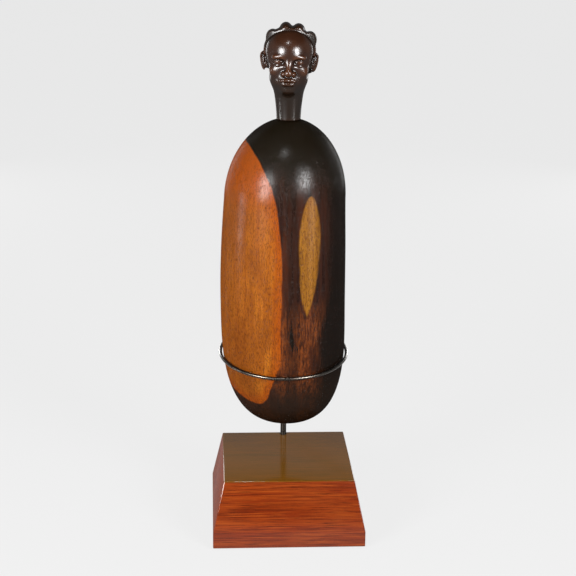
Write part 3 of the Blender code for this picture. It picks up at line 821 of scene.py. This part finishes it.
def head_form(points):
    """How far points lie outside the whole carving; the head tilts a little on its neck."""
    eye = np.array((0, 0, EYE_HEIGHT))
    p = (points - eye) @ np.array(Matrix.Rotation(HEAD_TILT, 3, "Y")) + eye
    m = p.copy()
    m[:, 0] = np.abs(m[:, 0])
    form = joined(face_and_skull(p, m), ears(m), 1.0)
    form = joined(form, hair(p), 0.35)
    neck, peg = neck_and_peg(points)
    softness = np.where(points[:, 2] > NECK_PLAIN_TO, JAW_FILLET, 0.01)
    return np.minimum(joined(form, neck, softness), peg)


def points_of(mesh):
    """The places of a mesh's vertices, one row for each."""
    flat = np.empty(len(mesh.vertices) * 3, np.float32)
    mesh.vertices.foreach_get("co", flat)
    return flat.reshape(-1, 3).astype(float)


def pared_down(points):
    """Moves points on to the carving's surface, a short step at a time."""
    for _ in range(PARING_ROUNDS):
        here = head_form(points)
        slope = np.empty_like(points)
        for axis in range(3):
            nudge = np.zeros(3)
            nudge[axis] = PARING_NUDGE
            across_nudge = head_form(points + nudge) - head_form(points - nudge)
            slope[:, axis] = across_nudge / (2 * PARING_NUDGE)
        steep = np.maximum((slope**2).sum(axis=1), 0.25)
        step = np.clip(here / steep, -PARING_STEP, PARING_STEP)
        points = points - step[:, None] * slope
    return points


head_low, head_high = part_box("doll_head")
neck_foot = Vector((body_middle.x, body_middle.y, head_low.z + PEG_LENGTH * MM))
to_bench = (Matrix.Translation(neck_foot) @ Matrix.Rotation(HEAD_TURN, 4, "Z")).inverted()
head_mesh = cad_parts["doll_head"].data.copy()
head_mesh.transform(Matrix.Diagonal((1 / MM, 1 / MM, 1 / MM, 1)) @ to_bench)
for voxel in PARING_VOXELS:
    rough = bpy.data.objects.new("rough_head", head_mesh)
    bpy.context.scene.collection.objects.link(rough)
    remesh = rough.modifiers.new("Remesh", "REMESH")
    remesh.mode = "VOXEL"
    remesh.voxel_size = voxel
    head_mesh = settled("head", rough)
    moved = pared_down(points_of(head_mesh))
    head_mesh.vertices.foreach_set("co", moved.astype(np.float32).ravel())
    head_mesh.update()


def evened(mesh, values, rounds):
    """Averages values, one row for each vertex, with those of the vertices beside it."""
    ends = np.empty(len(mesh.edges) * 2, np.int32)
    mesh.edges.foreach_get("vertices", ends)
    one, other = ends.reshape(-1, 2).T
    count = np.bincount(ends, minlength=len(values))[:, None]
    for _ in range(rounds):
        total = np.zeros_like(values)
        for axis in range(values.shape[1]):
            total[:, axis] += np.bincount(one, values[other, axis], len(values))
            total[:, axis] += np.bincount(other, values[one, axis], len(values))
        values = 0.5 * values + 0.5 * total / count
    return values


# Where the form stands proud fingers wear it brown, and what lies deep is darkened.
places = points_of(head_mesh)
normals = np.empty(len(head_mesh.vertices) * 3, np.float32)
head_mesh.vertices.foreach_get("normal", normals)
proud = ((places - evened(head_mesh, places, 60)) * normals.reshape(-1, 3)).sum(axis=1)
proud = evened(head_mesh, proud[:, None], 3)[:, 0]
wear = head_mesh.attributes.new("wear", "FLOAT", "POINT")
wear.data.foreach_set("value", proud.astype(np.float32))
head_mesh.transform(to_bench.inverted() @ Matrix.Diagonal((MM, MM, MM, 1)))
head_mesh.shade_smooth()

finish, tree, shader = new_finish("oiled_dark_wood", (0.0104, 0.0042, 0.0021), 0.5)
wax(shader, 0.13, 2.2, 0.25)
worn = node(tree, "Attribute", {}, attribute_name="wear").outputs["Fac"]
grain = speckle(tree, (900, 900, 70), detail=4.0)
mottle = speckle(tree, (130, 130, 70), detail=4.0, roughness=0.6)
colour = tint(tree, grain, (0.0021, 0.0014, 0.0009), (0.0047, 0.0023, 0.0012))
uneven = product(tree, maths(tree, "SUBTRACT", mottle, 0.5), 0.25)
rubbed = fade(tree, maths(tree, "ADD", worn, uneven), 0.02, 0.28)

# The face and the ears are handled most; the hair and the neck stay nearly black.
place = node(tree, "TexCoord", {}).outputs["Object"]
across, deep, up = node(tree, "SeparateXYZ", {"Vector": place}).outputs
is_face = product(tree, fade(tree, deep, -0.008, -0.016), fade(tree, up, 0.301, 0.315))
sideways = maths(tree, "ABSOLUTE", maths(tree, "SUBTRACT", across, neck_foot.x))
is_ear = product(tree, fade(tree, sideways, 0.0138, 0.0150), fade(tree, up, 0.329, 0.325))
is_handled = maths(tree, "MAXIMUM", is_face, is_ear)
warm = maths(tree, "ADD", product(tree, is_handled, 0.60), 0.08)
colour = tint(tree, product(tree, is_handled, 0.8), colour, (0.0085, 0.0027, 0.0011))
colour = tint(tree, product(tree, rubbed, warm), colour, (0.0219, 0.0071, 0.0022))
buried = product(tree, fade(tree, worn, -0.08, -0.25), is_handled)
colour = tint(tree, product(tree, buried, 0.5), colour, (0.0021, 0.0012, 0.0009))
tree.links.new(colour, shader.inputs["Base Color"])
relief(tree, shader, grain, 0.00004)
relief(tree, shader, mottle, 0.00006)
piece("carved_head", head_mesh, finish, "head", "head_wood", "doll_head")


# ---------------------------------------------------------------------------------------------
# Studio: a pale floor that dims towards the front, and a sky that is pale and low behind and
# dark in front and overhead. Two large softboxes stand in front with two small ones low beside
# them, a small one hangs above, and two light the back.
# ---------------------------------------------------------------------------------------------
FLOOR_REACH = 14.0
bm = bmesh.new()
bmesh.ops.create_grid(bm, x_segments=2, y_segments=2, size=FLOOR_REACH)
floor = workpiece("floor", bm)
finish, tree, shader = new_finish("pale_floor", (0.02, 0.02, 0.02), 0.9)
paper = speckle(tree, (1200, 1200, 1200), detail=2.0)
paper_colour = tint(tree, paper, (0.018, 0.018, 0.018), (0.022, 0.022, 0.022))
tree.links.new(paper_colour, shader.inputs["Base Color"])
shader.inputs["Specular IOR Level"].default_value = 0.0
floor_place = node(tree, "SeparateXYZ", {"Vector": node(tree, "TexCoord", {}).outputs["Object"]})
near = fade(tree, floor_place.outputs[1], -0.15, -0.80)
glow = tint(tree, near, (0.80, 0.80, 0.80), (0.42, 0.42, 0.42))
tree.links.new(glow, shader.inputs["Emission Color"])
shader.inputs["Emission Strength"].default_value = 1.0
floor.data.materials.append(finish)

world = bpy.data.worlds.new("studio")
world.use_nodes = True
tree = world.node_tree
direction = node(tree, "SeparateXYZ", {"Vector": node(tree, "TexCoord", {}).outputs["Generated"]})
height = direction.outputs[2]
behind = fade(tree, direction.outputs[1], -0.5, 0.2)
low_sky = tint(tree, behind, (0.10, 0.10, 0.10), (0.82, 0.82, 0.82))
sky = tint(tree, fade(tree, height, 0.42, 0.68), low_sky, (0.05, 0.05, 0.05))
tree.links.new(sky, tree.nodes["Background"].inputs["Color"])
tree.nodes["Background"].inputs["Strength"].default_value = 1.0
bpy.context.scene.world = world
bpy.context.scene.view_settings.view_transform = "Standard"

aim = Vector((0, 0, 0.20))


def softbox(name, azimuth, elevation, distance, size, watts):
    """A softbox that faces the object; azimuth 0 is straight in front and 90 to its right."""
    light = bpy.data.lights.new(name, "AREA")
    light.shape = "RECTANGLE"
    light.size, light.size_y = size
    light.energy = watts
    box = bpy.data.objects.new(name, light)
    bpy.context.scene.collection.objects.link(box)
    a, e = math.radians(azimuth), math.radians(elevation)
    way = Vector((math.sin(a) * math.cos(e), -math.cos(a) * math.cos(e), math.sin(e)))
    box.location = aim + way * distance
    box.rotation_euler = way.to_track_quat("Z", "Y").to_euler()


softbox("key_softbox", -42, 14, 1.1, (0.38, 0.48), 50.0)
softbox("side_softbox", 34, 19, 1.1, (0.36, 0.34), 40.0)
softbox("top_light", -12, 58, 1.2, (0.08, 0.08), 4.5)
softbox("low_left_softbox", -88, -5, 1.1, (0.09, 0.18), 4.0)
softbox("low_right_softbox", 47, -5, 1.1, (0.08, 0.18), 2.8)
softbox("back_left_softbox", -150, 4, 1.3, (0.30, 0.50), 9.0)
softbox("back_right_softbox", 145, 4, 1.3, (0.30, 0.50), 9.0)

FOCAL_LENGTH = 89.75
CAMERA_PLACE = (-0.0514, -0.9202, 0.4346)
CAMERA_TURN = math.radians(-3.2)
CAMERA_DIP = math.radians(16.2)
CAMERA_ROLL = math.radians(0.62)
camera_data = bpy.data.cameras.new("camera")
camera_data.sensor_width = 36
camera_data.lens = FOCAL_LENGTH
camera_data.clip_end = 60
camera = bpy.data.objects.new("camera", camera_data)
bpy.context.scene.collection.objects.link(camera)
camera.location = CAMERA_PLACE
aiming = Matrix.Rotation(CAMERA_TURN, 3, "Z") @ Matrix.Rotation(math.pi / 2 - CAMERA_DIP, 3, "X")
camera.rotation_euler = (aiming @ Matrix.Rotation(CAMERA_ROLL, 3, "Z")).to_euler()
bpy.context.scene.camera = camera
